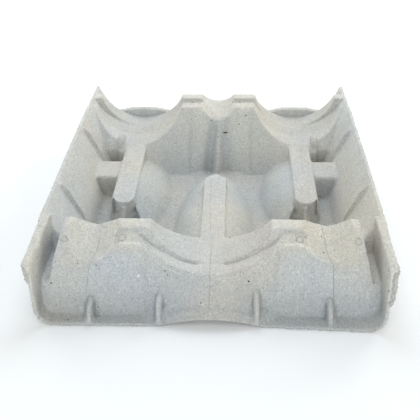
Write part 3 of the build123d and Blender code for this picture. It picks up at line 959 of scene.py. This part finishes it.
# chips caught in the pulp, and two dark flakes laid as painted shadow in the slots behind the back panel: x,
# y, length, width, turn in degrees, kind
CHIPS = [
    (7.7, 98.0, 6.0, 2.0, 8, "brown"),
    (-58.8, -2.1, 1.2, 0.8, 30, "dark"),
    # two dark flakes as painted shadow of the slots behind the back panel
    (-24.9, 128.2, 3.4, 0.9, 0, "dark"),
    (21.0, 128.2, 3.0, 0.9, 0, "dark"),
    (-32.1, -128.9, 1.6, 1.1, 60, "dark"),
    (-30.4, -130.4, 1.3, 0.8, 10, "brown"),
    (-80.2, -131.8, 1.4, 1.0, 40, "dark"),
    (114.4, -135.3, 1.2, 0.9, 0, "dark"),
    (-23.6, -130.7, 1.0, 0.8, 20, "red"),
    (-50.3, -134.8, 2.8, 2.0, 15, "white"),
    (-93.7, -130.5, 1.4, 0.9, 70, "blue"),
    (113.0, -143.0, 1.2, 0.8, 50, "blue"),
    (-77.0, -98.0, 1.1, 0.7, 10, "brown"),
    (-35.0, -103.0, 1.2, 0.7, 80, "brown"),
    (-38.0, 30.0, 1.2, 0.9, 35, "dark"),
    (35.0, 62.0, 1.1, 0.7, 15, "dark"),
]
CHIP_COLOURS = {
    "brown": (0.12, 0.075, 0.045),
    "dark": (0.13, 0.125, 0.13),
    "red": (0.33, 0.10, 0.09),
    "blue": (0.10, 0.14, 0.32),
    "white": (0.86, 0.85, 0.80),
}
CHIP_SIDES = 7
CHIP_LIFT = 0.12 * MM
CHIP_REACH = (0.75, 1.1)
# lifts of the middle of a chip: a white one, any other one, and how deep its base lies
WHITE_LIFTS = 5
OTHER_LIFTS = 2
BASE_LIFTS = 3


def chips(surface, kind, material, seed):
    """Small uneven flakes lying in the surface."""
    draw = random.Random(seed)
    shape = bmesh.new()
    for x, y, long, wide, turn, colour in CHIPS:
        if colour != kind:
            continue
        place, normal = drop(surface, x * MM, y * MM)
        across = normal.cross(Vector((0, 1, 0))).normalized()
        up = across.cross(normal).normalized()
        spin = math.radians(turn)
        rim = []
        for k in range(CHIP_SIDES):
            t = 2 * math.pi * k / CHIP_SIDES
            r = draw.uniform(*CHIP_REACH)
            a = long / 2 * math.cos(t) * r
            b = wide / 2 * math.sin(t) * r
            flat = across * (a * math.cos(spin) - b * math.sin(spin)) + up * (
                a * math.sin(spin) + b * math.cos(spin))
            spot, facing, _, _ = surface.find_nearest(place + flat * MM)
            rim.append(shape.verts.new(in_box(spot + facing * CHIP_LIFT)))
        lifts = WHITE_LIFTS if kind == "white" else OTHER_LIFTS
        top = shape.verts.new(in_box(place + normal * CHIP_LIFT * lifts))
        base = shape.verts.new(in_box(place - normal * CHIP_LIFT * BASE_LIFTS))
        for k in range(CHIP_SIDES):
            after = rim[(k + 1) % CHIP_SIDES]
            shape.faces.new((rim[k], after, top))
            shape.faces.new((after, rim[k], base))
    return piece_from(shape, "chips_" + kind, material)


# loose fibres on the torn edges
FIBRE_SEED = 11
FIBRE_HALF = 0.11 * MM
FIBRES_PER_AREA = 60000.0
FIBRE_LENGTH = 1.7 * MM
FIBRE_BEND = 0.5 * MM
FIBRE_SIDES = 3
FIBRE_STEPS = 3
FIBRE_LEAN = 1.35
FIBRE_SIZES = (0.35, 1.3)
# bands that the fibres grow on: hem, rims, ends of the ledges and front corners
BAND_HEM_Y = -150 * MM
BAND_HEM_END_Y = -155.5 * MM
BAND_HEM_OUT = 108 * MM
BAND_HEM_TURN = 0.2
BAND_RIM_LEVEL = 50.4 * MM
BAND_RIM_OUT = 121 * MM
LEDGE_END_Y = -88 * MM
LEDGE_END_HALF = 2.5 * MM
LEDGE_END_OUT = 112 * MM
LEDGE_END_LEVEL = 40 * MM
CORNER_Y = -140 * MM
CORNER_OUT = 118 * MM


def edge_bands(tray):
    """A copy of the tray's torn edges only, to grow fibres on."""
    shape = bmesh.new()
    shape.from_mesh(tray.data)
    gone = []
    for face in shape.faces:
        place = face.calc_center_median()
        out = abs(place.x)
        hem = place.y < BAND_HEM_Y and (place.y < BAND_HEM_END_Y or out > BAND_HEM_OUT)
        hem = hem and face.normal.y < BAND_HEM_TURN
        rim = place.z > BAND_RIM_LEVEL and out > BAND_RIM_OUT
        ledge_end = abs(place.y - LEDGE_END_Y) < LEDGE_END_HALF
        ledge_end = ledge_end and out > LEDGE_END_OUT and place.z > LEDGE_END_LEVEL
        corner = place.y < CORNER_Y and out > CORNER_OUT
        if not (hem or rim or ledge_end or corner):
            gone.append(face)
    bmesh.ops.delete(shape, geom=gone, context="FACES")
    mesh = bpy.data.meshes.new("edge_bands")
    shape.to_mesh(mesh)
    shape.free()
    piece = bpy.data.objects.new("loose_fibres", mesh)
    bpy.context.collection.objects.link(piece)
    return piece


def fibre_growth(material):
    """Node tree that scatters short bent fibres over a surface."""
    tree = bpy.data.node_groups.new("fibre_growth", "GeometryNodeTree")
    face = tree.interface
    face.new_socket("Geometry", in_out="INPUT", socket_type="NodeSocketGeometry")
    for name, kind, value in (
        ("Fibres per square metre", "NodeSocketFloat", FIBRES_PER_AREA),
        ("Fibre length", "NodeSocketFloat", FIBRE_LENGTH),
        ("Fibre half thickness", "NodeSocketFloat", FIBRE_HALF),
        ("Bend", "NodeSocketFloat", FIBRE_BEND),
        ("Seed", "NodeSocketInt", FIBRE_SEED),
    ):
        face.new_socket(name, in_out="INPUT", socket_type=kind).default_value = value
    face.new_socket("Geometry", in_out="OUTPUT", socket_type="NodeSocketGeometry")
    add = tree.nodes.new
    link = tree.links.new
    given = add("NodeGroupInput").outputs
    result = add("NodeGroupOutput").inputs

    spread = add("GeometryNodeDistributePointsOnFaces")
    link(given["Geometry"], spread.inputs["Mesh"])
    link(given["Fibres per square metre"], spread.inputs["Density"])
    link(given["Seed"], spread.inputs["Seed"])

    middle = add("ShaderNodeCombineXYZ")
    half = add("ShaderNodeMath")
    half.operation = "MULTIPLY"
    half.inputs[1].default_value = 0.5
    link(given["Fibre length"], half.inputs[0])
    link(given["Bend"], middle.inputs["X"])
    link(half.outputs[0], middle.inputs["Z"])
    tip = add("ShaderNodeCombineXYZ")
    link(given["Fibre length"], tip.inputs["Z"])
    arc = add("GeometryNodeCurveQuadraticBezier")
    arc.inputs["Resolution"].default_value = FIBRE_STEPS
    arc.inputs["Start"].default_value = (0, 0, 0)
    link(middle.outputs[0], arc.inputs["Middle"])
    link(tip.outputs[0], arc.inputs["End"])
    section = add("GeometryNodeCurvePrimitiveCircle")
    section.inputs["Resolution"].default_value = FIBRE_SIDES
    link(given["Fibre half thickness"], section.inputs["Radius"])
    strand = add("GeometryNodeCurveToMesh")
    strand.inputs["Fill Caps"].default_value = True
    link(arc.outputs["Curve"], strand.inputs["Curve"])
    link(section.outputs["Curve"], strand.inputs["Profile Curve"])

    lean = add("FunctionNodeRandomValue")
    lean.data_type = "FLOAT_VECTOR"
    lean.inputs["Min"].default_value = (-FIBRE_LEAN, -FIBRE_LEAN, 0.0)
    lean.inputs["Max"].default_value = (FIBRE_LEAN, FIBRE_LEAN, 2 * math.pi)
    link(given["Seed"], lean.inputs["Seed"])
    turned = add("FunctionNodeRotateRotation")
    turned.rotation_space = "LOCAL"
    to_turn = add("FunctionNodeEulerToRotation")
    link(lean.outputs["Value"], to_turn.inputs[0])
    link(spread.outputs["Rotation"], turned.inputs["Rotation"])
    link(to_turn.outputs[0], turned.inputs["Rotate By"])
    size = add("FunctionNodeRandomValue")
    size.data_type = "FLOAT"
    size.inputs[2].default_value, size.inputs[3].default_value = FIBRE_SIZES
    link(given["Seed"], size.inputs["Seed"])

    grow = add("GeometryNodeInstanceOnPoints")
    link(spread.outputs["Points"], grow.inputs["Points"])
    link(strand.outputs["Mesh"], grow.inputs["Instance"])
    link(turned.outputs["Rotation"], grow.inputs["Rotation"])
    link(size.outputs[1], grow.inputs["Scale"])
    real = add("GeometryNodeRealizeInstances")
    link(grow.outputs["Instances"], real.inputs["Geometry"])
    dress = add("GeometryNodeSetMaterial")
    dress.inputs["Material"].default_value = material
    link(real.outputs["Geometry"], dress.inputs["Geometry"])
    link(dress.outputs["Geometry"], result["Geometry"])
    return tree


def loose_fibres(tray, material):
    piece = edge_bands(tray)
    grow = piece.modifiers.new("fibre_growth", "NODES")
    grow.node_group = fibre_growth(material)
    baked(piece)
    for vertex in piece.data.vertices:
        vertex.co = in_box(vertex.co)
    return piece


aim_camera()
white_surroundings()
pale_floor()
for lamp in LAMPS:
    soft_lamp(*lamp)

pulp = pulp_finish("grey_pulp")
tray = pulp_tray(pulp)
surface = BVHTree.FromObject(tray, bpy.context.evaluated_depsgraph_get())
# darker pulp for lines, marks and torn rolls: partly darker seams, partly painted shade
dark_line_and_shade_pulp = pulp_finish("dark_line_and_shade_pulp", DARK_LINE_AND_PAINTED_SHADE)
# paler pulp for fibres and creases: partly paler fibre, partly painted highlight
pale_and_highlight_pulp = pulp_finish("pale_and_highlight_pulp", PALE_AND_PAINTED_HIGHLIGHT)
pieces = [
    tray,
    pressed_lines("mould_lines", MOULD_LINES, surface, dark_line_and_shade_pulp),
    pressed_lines("creases", CREASES, surface, pale_and_highlight_pulp),
    round_marks(surface, dark_line_and_shade_pulp),
    torn_edges(dark_line_and_shade_pulp),
    loose_fibres(tray, pale_and_highlight_pulp),
]
# every piece gets the painted light and shade of the tints
for piece in pieces:
    lay_tone_and_painted_light(piece.data)
for number, (kind, colour) in enumerate(CHIP_COLOURS.items()):
    pieces.append(chips(surface, kind, chip_finish("chip_" + kind, colour), number))
for piece in pieces:
    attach(piece, "root")
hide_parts("bottle_divider")

bpy.context.scene.view_settings.view_transform = "Standard"
